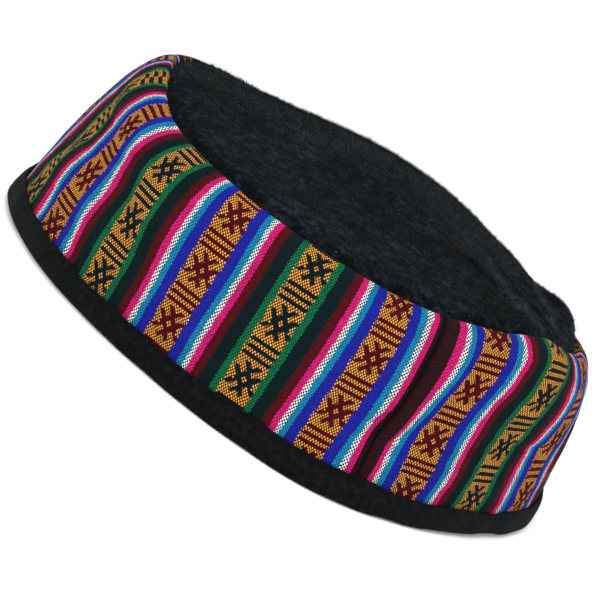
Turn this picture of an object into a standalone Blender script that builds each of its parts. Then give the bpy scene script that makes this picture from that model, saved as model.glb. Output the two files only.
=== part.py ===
"""Smoking cap: a hem binding, a padded woven band and a domed fleece crown.

Metres, +Z up. The origin is at the middle of the hem, on the surface that the cap rests on.
The side that the photograph shows faces -Y, with +X to its right. Angles are in degrees,
from -Y towards +X. Sizes in the tables are in millimetres.
"""
import bpy
import numpy as np

MM = 0.001

# The soft hem is out of round: this shift, in millimetres, puts the middle of its box on the origin
SHIFT_X = 0.49
SHIFT_Y = 0.93

# Pieces that touch keep this space between them
GAP = 0.3

# The band: how thick it is, and how far its edge is turned down inside the crown seam
BAND_WALL = 2.4
SEAM_TURN_DOWN = 5.0

# The crown: the fleece's thickness, and how far its edge is turned down inside the band
CROWN_WALL = 2.6
CROWN_TURN_DOWN = 6.0

# The binding: one folded strip round the bottom edge, with a flat foot. It flares out and swells
# a little, and its top edge is softly rounded. BINDING_TOP_UP is its top as a share of the band
BINDING_WALL = 1.0
BINDING_HEIGHT = 8.6
BINDING_TOP_UP = 0.12
BINDING_FLARE = 0.5
BINDING_SWELL = 0.2
BINDING_EDGE_ROUND = 0.4
FOOT_ROUND = 1.0

# Colours, as linear red, green and blue, and how rough each cloth is
BLACK = (0.012, 0.014, 0.016)
STRIPES_MIXED = (0.30, 0.08, 0.16)
FLEECE_ROUGHNESS = 0.95
BINDING_ROUGHNESS = 0.8
BAND_ROUGHNESS = 0.85

# How finely each solid is divided. Below one, BAND_ROW_POWER puts more rows near the roll
ANGLE_STEPS = 96
BAND_ROWS = 10
BAND_ROW_POWER = 0.8
CROWN_ROWS = 10

# The band's outside, from the surface it rests on up to the crown seam
BAND_PROFILE_COLUMNS = ("up", "radius", "height")
BAND_PROFILE = [
    (0.00, 96.2, 0.0),
    (0.12, 95.9, 8.5),
    (0.30, 94.9, 21.5),
    (0.46, 93.1, 33.0),
    (0.60, 90.4, 42.5),
    (0.72, 87.3, 49.5),
    (0.82, 83.9, 54.2),
    (0.90, 80.8, 56.6),
    (0.96, 78.4, 56.9),
    (1.00, 77.0, 55.3),
]

# How the soft wall departs from round: outwards at the hem, half way and at the top, and upwards
OUT_OF_ROUND_COLUMNS = ("angle", "hem_out", "middle_out", "top_out", "top_up")
OUT_OF_ROUND = [
    (-180, 0.0, 0.0, -1.5, -3.0),
    (-135, 0.0, 0.0, -0.5, -2.5),
    (-105, 0.4, -1.2, -1.0, 1.5),
    (-80, 0.8, -1.2, -1.0, 4.0),
    (-50, -1.5, -0.5, 1.0, -0.5),
    (-25, -2.4, 0.0, 1.0, -1.5),
    (0, 1.5, 0.0, 1.0, -1.5),
    (20, 4.0, 0.8, 1.0, -0.8),
    (40, 1.0, 0.8, 0.0, 2.0),
    (60, -1.8, 0.2, -1.0, 4.0),
    (80, -0.5, 0.0, 0.5, 0.5),
    (105, 0.0, 0.0, 0.0, -4.0),
    (135, 0.0, 0.0, -0.5, -4.0),
]

# Creases and swells of the band: a depth below zero stands out. They fade out near both edges.
# Each row: angle, up, half its width in degrees, half its height, depth, lean in degrees
FOLD_FADE = 0.15
FOLDS = [
    (-62, 0.77, 18.0, 0.13, -1.4, 0),
    (-60, 0.53, 16.0, 0.10, 1.6, 0),
    (-60, 0.32, 16.0, 0.09, -1.0, 0),
    (-30, 0.45, 9.0, 0.28, -0.8, 0),
    (25, 0.45, 3.5, 0.50, 0.8, 6),
    (24, 0.28, 5.0, 0.10, 1.2, 25),
    (46, 0.22, 14.0, 0.12, -1.0, 0),
    (52, 0.40, 12.0, 0.09, 1.4, 0),
    (57, 0.72, 14.0, 0.18, -1.8, 20),
]

# The crown's outside over its seam, from the middle out to the rim
CROWN_PROFILE_COLUMNS = ("share", "rise")
CROWN_PROFILE = [
    (0.00, 13.6),
    (0.15, 12.9),
    (0.35, 10.2),
    (0.55, 7.6),
    (0.75, 5.4),
    (0.90, 4.0),
    (0.97, 2.4),
    (1.00, 0.0),
]

# Soft lumps of the crown, which die at the rim. Each row: angle, share, half its width, rise
LUMPS = [
    (178, 0.55, 36.0, 3.2),
    (118, 0.85, 16.0, 2.6),
    (-118, 0.80, 16.0, 1.0),
]


def column(table, columns, name):
    """One named column of a table, as numbers."""
    return np.array([row[columns.index(name)] for row in table], float)


def smooth_read(knots, values, at):
    """Read a smooth curve through the knots: a cubic with slopes from each knot's neighbours."""
    slopes = np.gradient(values, knots)
    at = np.clip(at, knots[0], knots[-1])
    left = np.clip(np.searchsorted(knots, at, side="right") - 1, 0, len(knots) - 2)
    span = knots[left + 1] - knots[left]
    t = (at - knots[left]) / span
    from_values = (2 * t**3 - 3 * t**2 + 1) * values[left] + (3 * t**2 - 2 * t**3) * values[left + 1]
    from_slopes = (t**3 - 2 * t**2 + t) * slopes[left] + (t**3 - t**2) * slopes[left + 1]
    return from_values + span * from_slopes


def round_read(name, angles):
    """Read a column of OUT_OF_ROUND all the way round, joined smoothly at the back."""
    knots = column(OUT_OF_ROUND, OUT_OF_ROUND_COLUMNS, "angle")
    values = column(OUT_OF_ROUND, OUT_OF_ROUND_COLUMNS, name)
    knots = np.concatenate([knots - 360, knots, knots + 360])
    return smooth_read(knots, np.tile(values, 3), angles)


def turned(angles, radii, heights):
    """Points in metres at these angles, radii and heights."""
    x = radii * np.sin(np.radians(angles)) + SHIFT_X
    y = -radii * np.cos(np.radians(angles)) + SHIFT_Y
    return np.stack([x, y, heights], -1) * MM


def band_outline(angles, up):
    """The band's outer radius and height, in millimetres, without its folds."""
    knots = column(BAND_PROFILE, BAND_PROFILE_COLUMNS, "up")
    radii = smooth_read(knots, column(BAND_PROFILE, BAND_PROFILE_COLUMNS, "radius"), up)
    heights = smooth_read(knots, column(BAND_PROFILE, BAND_PROFILE_COLUMNS, "height"), up)
    radii = radii + round_read("hem_out", angles) * (1 - up) ** 2
    radii = radii + round_read("middle_out", angles) * 4 * up * (1 - up)
    radii = radii + round_read("top_out", angles) * up**2
    heights = heights + round_read("top_up", angles) * up**1.5
    return radii, heights


def folds_sink(angles, up):
    """How far the folds sink the band's surface: each is a leaning bell that dies at both edges."""
    depth = np.zeros(np.broadcast(angles, up).shape)
    for fold_angle, fold_up, half_angle, half_up, fold_depth, lean in FOLDS:
        across = (angles - fold_angle - lean * (up - fold_up)) / half_angle
        along = (up - fold_up) / half_up
        depth += fold_depth * np.exp(-across**2 - along**2)
    above_binding = np.clip((up - BINDING_TOP_UP) / FOLD_FADE, 0, 1)
    below_seam = np.clip((1 - up) / FOLD_FADE, 0, 1)
    return depth * above_binding * below_seam


def band_surface(angles, up):
    """The band's outer radius and height, in millimetres, with its folds."""
    radii, heights = band_outline(angles, up)
    return radii - folds_sink(angles, up), heights


def offset_inwards(radii, heights, distance):
    """Move each profile, given as rows from the hem up, to its inner side by a distance."""
    along_radius = np.gradient(radii, axis=1)
    along_height = np.gradient(heights, axis=1)
    length = np.hypot(along_radius, along_height)
    return radii - distance * along_height / length, heights + distance * along_radius / length


def mesh_object(name, points, faces, colour, roughness):
    """One closed, smooth-shaded mesh object with a material of its own."""
    mesh = bpy.data.meshes.new(name)
    mesh.from_pydata([tuple(point) for point in points], [], faces)
    mesh.validate()
    mesh.polygons.foreach_set("use_smooth", [True] * len(mesh.polygons))
    material = bpy.data.materials.new(name)
    material.use_nodes = True
    shader = material.node_tree.nodes["Principled BSDF"]
    shader.inputs["Base Color"].default_value = (*colour, 1.0)
    shader.inputs["Roughness"].default_value = roughness
    shader.inputs["Metallic"].default_value = 0.0
    mesh.materials.append(material)
    made = bpy.data.objects.new(name, mesh)
    bpy.context.scene.collection.objects.link(made)
    return made


def ring_faces(around, section):
    """Quads of a closed section that is carried all the way round."""
    faces = []
    for i in range(around):
        j = (i + 1) % around
        for k in range(section):
            m = (k + 1) % section
            faces.append((i * section + k, j * section + k, j * section + m, i * section + m))
    return faces


def dome_faces(around, rows):
    """Quads between the rows and a fan of triangles round the first and last points."""
    faces = []
    for i in range(around):
        j = (i + 1) % around
        faces.append((0, 1 + i, 1 + j))
        for k in range(rows - 1):
            near, far = 1 + k * around, 1 + (k + 1) * around
            faces.append((near + i, far + i, far + j, near + j))
        last = 1 + (rows - 1) * around
        faces.append((last + i, 1 + rows * around, last + j))
    return faces


def all_angles():
    """The angles of the solids' sections, as one column."""
    return np.arange(ANGLE_STEPS)[:, None] * (360.0 / ANGLE_STEPS) - 180.0


def make_band():
    """The padded wall: outside up, over the roll, down the turned edge, and back inside."""
    angles = all_angles()
    first = (BINDING_WALL + GAP) / BINDING_HEIGHT * BINDING_TOP_UP
    up = first + (1 - first) * np.linspace(0, 1, BAND_ROWS + 1)[None, :] ** BAND_ROW_POWER
    outer_radii, outer_heights = band_surface(angles, up)
    inner_radii, inner_heights = offset_inwards(outer_radii, outer_heights, BAND_WALL)
    bound = outer_heights < 1.5 * BINDING_HEIGHT
    inner_radii = np.where(bound, outer_radii - BAND_WALL, inner_radii)
    inner_heights = np.where(bound, outer_heights, inner_heights)

    seam_radii = outer_radii[:, -1:]
    turned_edge = outer_heights[:, -1:] - SEAM_TURN_DOWN
    inner_radii[:, -1:] = seam_radii + BAND_WALL
    inner_heights[:, -1] = np.minimum(inner_heights[:, -1], outer_heights[:, -1] - 0.5 * BAND_WALL)

    radii = np.concatenate([outer_radii, seam_radii, seam_radii + BAND_WALL, inner_radii[:, ::-1]], 1)
    heights = np.concatenate([outer_heights, turned_edge, turned_edge, inner_heights[:, ::-1]], 1)
    points = turned(angles, radii, heights).reshape(-1, 3)
    return mesh_object("band", points, ring_faces(*radii.shape), STRIPES_MIXED, BAND_ROUGHNESS)


def crown_heights(angles, share, rim, seam_heights):
    """Heights of the crown's outside: the seam's height, the profile's rise and the lumps."""
    knots = column(CROWN_PROFILE, CROWN_PROFILE_COLUMNS, "share")
    rise = smooth_read(knots, column(CROWN_PROFILE, CROWN_PROFILE_COLUMNS, "rise"), share)
    heights = seam_heights.mean() * (1 - share**2) + seam_heights * share**2 + rise
    for lump_angle, lump_share, half_width, lump_rise in LUMPS:
        reach = lump_share * rim.mean()
        between = np.radians(angles - lump_angle)
        away = (rim * share) ** 2 + reach**2 - 2 * rim * share * reach * np.cos(between)
        heights = heights + lump_rise * np.exp(-away / half_width**2) * (1 - share**12)
    return heights


def make_crown():
    """The domed top: outside from the middle to its turned-down edge, and back inside."""
    angles = all_angles()[:, 0]
    seam_radii, seam_heights = band_outline(angles, np.ones_like(angles))
    rim = seam_radii - GAP
    share = np.sin(np.linspace(0, np.pi / 2, CROWN_ROWS + 1))[1:, None]
    outer_radii = rim * share
    outer_heights = crown_heights(angles, share, rim, seam_heights)
    inner_radii, inner_heights = offset_inwards(outer_radii.T, outer_heights.T, -CROWN_WALL)
    inner_radii = np.minimum(inner_radii.T, rim - CROWN_WALL)

    edge = seam_heights[None, :] - CROWN_TURN_DOWN
    radii = np.concatenate([outer_radii, [rim], [rim - CROWN_WALL], inner_radii[::-1]])
    heights = np.concatenate([outer_heights, edge, edge, inner_heights.T[::-1]])
    rings = turned(np.broadcast_to(angles, radii.shape), radii, heights).reshape(-1, 3)
    top = crown_heights(angles, np.zeros((1, 1)), rim, seam_heights)[0, 0]
    apex = turned(np.zeros(2), np.zeros(2), np.array([top, top - CROWN_WALL]))
    points = np.concatenate([apex[:1], rings, apex[1:]])
    return mesh_object("crown", points, dome_faces(*radii.shape[::-1]), BLACK, FLEECE_ROUGHNESS)


def make_hem_binding():
    """The folded strip: a U section round the band's bottom edge, with a flat foot."""
    angles = all_angles()
    base, _ = band_surface(angles, np.zeros((1, 1)))
    edge, _ = band_surface(angles, np.full((1, 1), BINDING_TOP_UP))
    outer_foot = base + GAP + BINDING_WALL + BINDING_FLARE
    outer_top = edge + GAP + BINDING_WALL
    outer_middle = 0.5 * (outer_foot + outer_top) + BINDING_SWELL
    inner_foot = base - BAND_WALL - GAP - BINDING_WALL
    inner_top = edge - BAND_WALL - GAP - BINDING_WALL
    section = [
        (outer_foot - FOOT_ROUND, 0.0),
        (outer_foot - 0.3 * FOOT_ROUND, 0.3 * FOOT_ROUND),
        (outer_foot, FOOT_ROUND),
        (outer_middle, 0.5 * BINDING_HEIGHT),
        (outer_top, BINDING_HEIGHT - BINDING_EDGE_ROUND),
        (outer_top - BINDING_EDGE_ROUND, BINDING_HEIGHT),
        (edge + GAP, BINDING_HEIGHT),
        (base + GAP, BINDING_WALL),
        (inner_foot + BINDING_WALL, BINDING_WALL),
        (inner_top + BINDING_WALL, BINDING_HEIGHT),
        (inner_top, BINDING_HEIGHT),
        (inner_foot, FOOT_ROUND),
        (inner_foot + FOOT_ROUND, 0.0),
    ]
    radii = np.concatenate([radius for radius, height in section], 1)
    heights = np.broadcast_to([height for radius, height in section], radii.shape)
    points = turned(angles, radii, heights).reshape(-1, 3)
    return mesh_object("hem_binding", points, ring_faces(*radii.shape), BLACK, BINDING_ROUGHNESS)


def main():
    """Clear the scene, then make the pieces from the hem up."""
    for old in list(bpy.data.objects):
        bpy.data.objects.remove(old, do_unlink=True)
    make_hem_binding()
    make_band()
    make_crown()


main()
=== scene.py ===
import bpy
import numpy as np
from mathutils import Matrix, Vector


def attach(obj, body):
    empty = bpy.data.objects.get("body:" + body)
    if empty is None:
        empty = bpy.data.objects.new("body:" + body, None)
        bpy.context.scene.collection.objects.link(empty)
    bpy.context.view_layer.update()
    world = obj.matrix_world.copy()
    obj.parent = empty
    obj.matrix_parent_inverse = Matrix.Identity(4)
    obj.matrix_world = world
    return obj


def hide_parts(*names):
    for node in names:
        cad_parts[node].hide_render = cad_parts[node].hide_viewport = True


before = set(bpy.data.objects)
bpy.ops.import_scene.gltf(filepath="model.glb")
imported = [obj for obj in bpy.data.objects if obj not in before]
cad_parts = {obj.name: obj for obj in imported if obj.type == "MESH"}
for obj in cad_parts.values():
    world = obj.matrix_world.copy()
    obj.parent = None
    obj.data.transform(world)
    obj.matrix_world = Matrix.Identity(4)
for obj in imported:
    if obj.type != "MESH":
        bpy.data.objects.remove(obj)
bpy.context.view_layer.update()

# A smoking cap: a padded band of striped cotton, a fleece crown with its nap, and a hem binding.
# Lengths are in millimetres, and angles in degrees from -Y towards +X, unless a name says otherwise.
# "Up" is a share of the way up the band's profile, and "share" one of the way to the crown's rim
MM = 0.001

# The cap's own middle, seen from the middle of its bounding box
SHIFT_X = 0.49
SHIFT_Y = 0.93

# The gap between pieces, the walls, and how far the turned-down edges reach
GAP = 0.3
BAND_WALL = 2.4
SEAM_TURN_DOWN = 5.0
CROWN_WALL = 2.6
CROWN_TURN_DOWN = 6.0

# The binding: its wall, its height, where on the band that is, and how far its foot stands out
BINDING_WALL = 1.0
BINDING_HEIGHT = 8.6
BINDING_TOP_UP = 0.12
BINDING_FLARE = 0.5

# Millimetres for each degree along the band, at its seam and along the binding, and its mean radius
BAND_DEGREE = 1.64
SEAM_DEGREE = 1.62
BINDING_DEGREE = 1.7
MEAN_RADIUS = 94

# How finely the pieces are divided: the band left and right of its seam, and so on
LEFT_COLUMNS = 180
RIGHT_COLUMNS = 500
BAND_ROWS = 90
INNER_ROWS = 16
CROWN_COLUMNS = 288
CROWN_RINGS = 96
BINDING_COLUMNS = 720
NAP_FIBRES = 48000

# The band's outside, from the surface it rests on up to the crown seam. Each row: up, radius, height
BAND_PROFILE = np.array([
    (0.00, 96.2, 0.0),
    (0.12, 95.9, 8.5),
    (0.30, 94.9, 21.5),
    (0.46, 93.1, 33.0),
    (0.60, 90.4, 42.5),
    (0.72, 87.3, 49.5),
    (0.82, 83.9, 54.2),
    (0.90, 80.8, 56.6),
    (0.96, 78.4, 56.9),
    (1.00, 77.0, 55.3),
])

# How the soft wall departs from round. Each row: angle, how far out it is at the hem, half way and
# at the top, and how far up it is at the top
OUT_OF_ROUND = np.array([
    (-180, 0.0, 0.0, -1.5, -3.0),
    (-135, -2.0, 0.0, -0.5, -3.0),
    (-105, -3.2, -1.5, -2.4, 3.0),
    (-80, 0.6, -2.4, -2.4, 5.6),
    (-50, -1.5, -0.5, 1.0, -0.5),
    (-25, -2.4, 0.0, 1.0, -1.5),
    (0, 1.5, 0.0, 1.0, -1.5),
    (20, 4.0, 0.8, 1.0, -0.8),
    (40, 1.0, 0.8, 0.0, 2.0),
    (60, -1.8, 0.2, -1.0, 3.4),
    (70, -1.2, -0.4, 0.5, 0.0),
    (80, -0.9, -1.2, 1.7, -1.9),
    (105, -1.3, -1.2, 1.2, -6.2),
    (120, -0.6, -0.5, -0.2, -7.4),
    (135, 0.0, 0.0, -0.5, -5.2),
])

# Creases and swells. Each row: angle, up, half its width in degrees, half its height as a share,
# depth, and how far it leans, in degrees for the whole way up
FOLDS = [
    (-62, 0.77, 18.0, 0.13, -1.4, 0),
    (-60, 0.53, 16.0, 0.10, 1.6, 0),
    (-60, 0.32, 16.0, 0.09, -1.0, 0),
    (-30, 0.45, 9.0, 0.28, -0.8, 0),
    (25, 0.45, 3.5, 0.50, 0.8, 6),
    (24, 0.28, 5.0, 0.10, 1.2, 25),
    (46, 0.22, 14.0, 0.12, -1.0, 0),
    (52, 0.40, 12.0, 0.09, 1.4, 0),
    (57, 0.72, 14.0, 0.18, -1.8, 20),
]

# Sharp puckers. Each row: from an angle and up, to an angle and up, half its width, and depth
PUCKERS = [
    (19.3, 0.325, 23.3, 0.405, 0.6, 0.7),
    (22.6, 0.200, 28.3, 0.365, 0.6, 0.7),
    (45.0, 0.395, 66.0, 0.425, 1.3, 0.5),
    (36.0, 0.285, 50.0, 0.330, 1.4, 0.3),
    (-73.0, 0.455, -50.0, 0.480, 1.6, 0.3),
    (-78.0, 0.620, -60.0, 0.600, 1.3, 0.3),
]

# The crown's outside above its seam, from the middle out to the rim. Each row: share, rise
CROWN_PROFILE = np.array([
    (0.00, 13.6),
    (0.15, 12.9),
    (0.35, 10.2),
    (0.55, 7.6),
    (0.75, 5.4),
    (0.90, 4.0),
    (0.97, 2.4),
    (1.00, 0.0),
])

# Soft lumps of the crown, which die at the rim. Each row: angle, share, half its width, rise. The
# widths and rises are in millimetres
LUMPS = [
    (178, 0.55, 36.0, 3.2),
    (118, 0.85, 16.0, 1.6),
    (155, 0.80, 22.0, 0.9),
    (98, 0.95, 15.0, 6.2),
    (132, 0.95, 10.0, 0.9),
    (97, 0.74, 8.0, 0.9),
]

# Creases of the crown near its right end, where it is pinched. Each row: from x, y to x, y, half
# its width, rise
CREASES = [
    (34, -21, 56, -32, 1.8, 1.3),
    (54, -30, 69, -29, 1.5, 1.6),
    (45, 4, 60, -17, 1.8, 1.1),
    (59, -15, 70, -24, 1.4, 1.5),
    (38, 13, 56, 4, 2.0, 0.7),
    (57, 8, 72, 1, 1.4, 1.1),
]

# Streaks of bent nap there, painted lighter as a highlight. Each row: from x, y to x, y, width, how light
BENT_NAP_HIGHLIGHTS = [
    (45.5, -9, 52, -30, 3.6, 0.25),
    (53, -33, 64, -36, 2.4, 0.36),
    (57, 6, 66.5, -7, 2.4, 0.22),
    (66.5, -7, 69, -23, 1.8, 0.26),
]

# How much of the fleece's mottling comes from clumps of nap, and from slower drifts
CLUMPS_SHARE = 0.65
DRIFT_SHARE = 0.20

# The woven stripes run up the band. Each line is where one lies: its count along the cloth, then
# its angle at each height, as read off. Even counts are the middles of the green figure bands, odd
# ones those of the maroon figure bands. The seam hides the cloth between 5.585 and 6.415
STRIPE_LINES = [
    (0.0, [(0.16, -68.9), (0.38, -67.2), (0.53, -68.0), (0.67, -68.6), (0.78, -70.0), (0.87, -70.2)]),
    (0.18, [(0.16, -65.8), (0.30, -65.6), (0.40, -66.3), (0.50, -65.3), (0.60, -65.9), (0.70, -67.7),
            (0.80, -67.3), (0.90, -66.6)]),
    (0.506, [(0.16, -61.8), (0.25, -62.2), (0.32, -62.2), (0.39, -62.1), (0.51, -62.2), (0.58, -62.3),
             (0.73, -62.1), (0.88, -62.4)]),
    (0.633, [(0.16, -59.0), (0.30, -59.4), (0.43, -60.0), (0.48, -60.5), (0.54, -60.8), (0.60, -60.5),
             (0.67, -60.0), (0.74, -60.0), (0.88, -60.4)]),
    (0.83, [(0.16, -57.0), (0.25, -56.7), (0.35, -56.2), (0.43, -56.9), (0.49, -57.5), (0.56, -57.3),
            (0.70, -57.2), (0.88, -57.5)]),
    (1.17, [(0.16, -50.0), (0.34, -50.4), (0.41, -50.8), (0.47, -51.3), (0.57, -52.3), (0.65, -52.5),
            (0.88, -52.5)]),
    (1.299, [(0.16, -47.8), (0.38, -48.8), (0.44, -49.0), (0.50, -49.7), (0.55, -50.3), (0.61, -50.6),
             (0.68, -50.9), (0.88, -50.4)]),
    (1.419, [(0.16, -45.2), (0.28, -46.3), (0.40, -46.1), (0.47, -46.6), (0.51, -47.4), (0.57, -48.4),
             (0.62, -48.8), (0.67, -48.8), (0.75, -48.3), (0.88, -47.2)]),
    (1.494, [(0.16, -44.0), (0.28, -44.9), (0.41, -44.7), (0.49, -45.1), (0.56, -46.4), (0.60, -47.1),
             (0.66, -47.3), (0.74, -46.9), (0.88, -45.8)]),
    (2.0, [(0.16, -35.5), (0.34, -35.7), (0.43, -36.6), (0.50, -37.5), (0.57, -38.2), (0.67, -38.7),
           (0.80, -38.3), (0.87, -37.6)]),
    (3.0, [(0.16, -18.4), (0.32, -18.75), (0.47, -19.0), (0.55, -19.3), (0.68, -20.0), (0.82, -21.1),
           (0.88, -21.4)]),
    (4.0, [(0.16, -2.1), (0.47, -2.1), (0.74, -2.25), (0.87, -2.3)]),
    (4.83, [(0.16, 10.8), (0.28, 11.1), (0.40, 11.6), (0.52, 12.0), (0.64, 12.4), (0.88, 12.8)]),
    (5.17, [(0.16, 16.0), (0.28, 16.3), (0.40, 17.0), (0.52, 17.5), (0.64, 18.1), (0.88, 18.5)]),
    (5.299, [(0.16, 18.1), (0.28, 18.6), (0.40, 19.2), (0.52, 19.7), (0.64, 20.1), (0.76, 20.5),
             (0.88, 20.7)]),
    (5.494, [(0.16, 21.7), (0.28, 21.7), (0.34, 21.9), (0.40, 22.8), (0.52, 23.5), (0.64, 24.0),
             (0.76, 24.5), (0.88, 25.1)]),
    (5.585, [(0.16, 22.9), (0.22, 23.0), (0.34, 23.3), (0.43, 24.1), (0.55, 24.8), (0.74, 25.7),
             (0.88, 26.3)]),
    (6.506, [(0.16, 24.9), (0.28, 25.4), (0.34, 26.0), (0.46, 27.0), (0.58, 28.1), (0.70, 29.0),
             (0.88, 29.9)]),
    (6.581, [(0.16, 26.0), (0.28, 26.2), (0.40, 27.2), (0.52, 28.6), (0.64, 30.2), (0.76, 31.3),
             (0.88, 31.8)]),
    (6.701, [(0.16, 28.0), (0.28, 27.9), (0.40, 28.6), (0.52, 30.3), (0.64, 32.2), (0.76, 33.6),
             (0.88, 34.1)]),
    (6.83, [(0.16, 30.1), (0.28, 29.6), (0.40, 29.9), (0.46, 30.7), (0.52, 31.5), (0.64, 33.5),
            (0.76, 35.3), (0.88, 36.3)]),
    (7.17, [(0.16, 35.8), (0.34, 35.7), (0.40, 35.7), (0.46, 36.0), (0.52, 36.8), (0.58, 38.0),
            (0.64, 39.4), (0.76, 41.7), (0.88, 43.4)]),
    (7.494, [(0.16, 41.1), (0.28, 41.2), (0.34, 41.3), (0.40, 41.7), (0.52, 42.2), (0.58, 43.2),
             (0.64, 44.9), (0.70, 46.3), (0.82, 49.4), (0.88, 49.9)]),
    (8.0, [(0.16, 49.0), (0.28, 48.3), (0.34, 49.2), (0.40, 50.6), (0.52, 51.5), (0.58, 52.9),
           (0.64, 54.6), (0.70, 56.0), (0.82, 60.2), (0.88, 61.2)]),
    (9.0, [(0.16, 68.0), (0.28, 66.0), (0.34, 65.9), (0.41, 66.4), (0.47, 68.6), (0.54, 71.4),
           (0.61, 74.0), (0.76, 77.5)]),
]
SEAM_LEFT = 5.585
SEAM_RIGHT = 6.415
STRIPES_ROUND = 22

# How far from the middle of the hidden cloth the browner strip of painted shade reaches, as a count,
# and the width of the black line of painted shadow in it, in millimetres
SEAM_SHADE_REACH = 0.506
SEAM_SHADOW_LINE = 0.8

# One half repeat of stripes, from the middle of a green figure band to that of a maroon one. Each
# row: where the stripe starts, its name, its colour, and how dark the gaps between its floats are
HALF_REPEAT = 28.0
STRIPES = [
    (0.000, "green", "076840", 0.75),
    (0.258, "bottle green", "081A1B", 0.50),
    (0.411, "maroon", "4E0C14", 0.50),
    (0.506, "pink", "CB1B6C", 0.65),
    (0.581, "white", "E8ECE8", 1.00),
    (0.633, "sky blue", "127DA8", 0.65),
    (0.701, "royal blue", "1B218E", 0.50),
]

# How soft the edges of stripes are, where green meets maroon and elsewhere, and how far the figures
# reach from the middle of each kind of band, all as counts
SOFT_EDGE = 0.020
HARD_EDGE = 0.001
GREEN_FIGURES_REACH = 0.180
MAROON_FIGURES_REACH = 0.170

# One woven figure, charted in rows of floats up from its middle. Ochre shows nearer to the
# middle line than the first number, between the second and third, and further out than the fourth,
# all in millimetres. Each row of the chart holds until the next
FIGURE_CHART = [
    (-12, 0.0, 9.0, 9.0, 9.0),
    (-11, 9.0, 9.0, 9.0, 9.0),
    (-9, 1.1, 1.5, 9.0, 9.0),
    (-8, 0.7, 2.0, 9.0, 9.0),
    (-7, 0.2, 2.1, 9.0, 9.0),
    (-6, 0.0, 2.0, 9.0, 9.0),
    (-5, 0.0, 1.5, 3.2, 9.0),
    (-4, 0.0, 1.1, 2.9, 9.0),
    (-3, 0.0, 1.4, 2.4, 4.5),
    (-2, 0.0, 9.0, 9.0, 3.2),
    (-1, 0.2, 9.0, 9.0, 3.5),
    (0, 0.7, 9.0, 9.0, 3.2),
    (1, 0.2, 9.0, 9.0, 3.5),
    (2, 0.0, 9.0, 9.0, 4.0),
    (3, 0.0, 1.4, 2.4, 4.5),
    (4, 0.0, 1.1, 2.9, 9.0),
    (5, 0.0, 1.5, 9.0, 9.0),
    (6, 0.0, 2.0, 9.0, 9.0),
    (7, 0.2, 2.4, 9.0, 9.0),
    (8, 0.7, 2.9, 9.0, 9.0),
    (9, 9.0, 9.0, 9.0, 9.0),
    (11, 0.0, 9.0, 9.0, 9.0),
    (13, 9.0, 9.0, 9.0, 9.0),
    (15, 0.0, 9.0, 9.0, 9.0),
    (17, 9.0, 9.0, 9.0, 9.0),
    (19, 0.0, 9.0, 9.0, 9.0),
]

# The chart's first row and its length in rows, how far aside of its band's middle the figure lies,
# and the millimetres that one unit of colour stands for when a colour ramp holds the chart
FIGURE_FIRST_ROW = -12
FIGURE_ROWS = 32
FIGURE_ASIDE = 0.475
CHART_UNIT = 10

# Further out than this on one side, the ochre runs on through the bars between figures
BORDER_FROM = 4.3

# The woven figures: how far up the cloth one is centred in each band, and how far apart they are
FIGURE_REPEAT = 18.7
FIGURES = {
    0: (30.8, 18.7),
    1: (30.0, 18.6),
    2: (31.6, 18.7),
    3: (34.6, 18.6),
    4: (35.6, 19.3),
    5: (40.8, 18.2),
    7: (26.4, 17.2),
    8: (29.6, 16.6),
    9: (34.0, 20.0),
}

# The weave: one float's width along the cloth, and two of its rows. The real threads are about
# half as wide, and are drawn as pairs, as the photograph shows them
FLOAT_WIDTH = 0.95
TWO_ROWS = 2 * FIGURE_REPEAT / FIGURE_ROWS

# How far floats stray across and up, how far their beads lean, and how deep stripes' edges are
# stepped. Then how low a plain float lies beside an ochre one, and how unevenly floats are shaded
WANDER_ACROSS = 0.6
WANDER_UP = 0.4
BEAD_LEAN = 0.15
STEPPED_EDGE = 0.12
PLAIN_RELIEF = 0.8
SHADE_RANGE = 0.30
SHADE_LEAST = 0.86
THREAD_SHADE = 0.10


def smooth_read(knots, values, at):
    """Read a smooth curve through knots: on each span a cubic with slopes from the neighbours."""
    slopes = np.gradient(values, knots, axis=0)
    at = np.clip(at, knots[0], knots[-1])
    left = np.clip(np.searchsorted(knots, at, side="right") - 1, 0, len(knots) - 2)
    one_each = left.shape + (1,) * (values.ndim - 1)
    span = (knots[left + 1] - knots[left]).reshape(one_each)
    t = (at - knots[left]).reshape(one_each) / span
    from_values = (2 * t**3 - 3 * t**2 + 1) * values[left] + (3 * t**2 - 2 * t**3) * values[left + 1]
    from_slopes = (t**3 - 2 * t**2 + t) * slopes[left] + (t**3 - t**2) * slopes[left + 1]
    return from_values + span * from_slopes


def round_read(column, angles):
    """Read a column of OUT_OF_ROUND all the way round, at angles within one turn of the front."""
    knots = np.concatenate([OUT_OF_ROUND[:, 0] + turn for turn in (-360, 0, 360)])
    return smooth_read(knots, np.tile(OUT_OF_ROUND[:, column], 3), (angles + 180) % 360 - 180)


def turned(angles, radii, heights):
    """Points in metres at these angles, from -Y towards +X, and radii and heights."""
    x = radii * np.sin(np.radians(angles)) + SHIFT_X
    y = -radii * np.cos(np.radians(angles)) + SHIFT_Y
    return np.stack([x, y, heights + 0 * x], -1) * MM


def arc_up(up):
    """Millimetres along the cloth from the hem: the length of the band's profile up to there."""
    fine = np.linspace(0, 1, 401)
    radii = smooth_read(BAND_PROFILE[:, 0], BAND_PROFILE[:, 1], fine)
    heights = smooth_read(BAND_PROFILE[:, 0], BAND_PROFILE[:, 2], fine)
    steps = np.hypot(np.diff(radii), np.diff(heights))
    return np.interp(up, fine, np.concatenate([[0], np.cumsum(steps)]))


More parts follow.
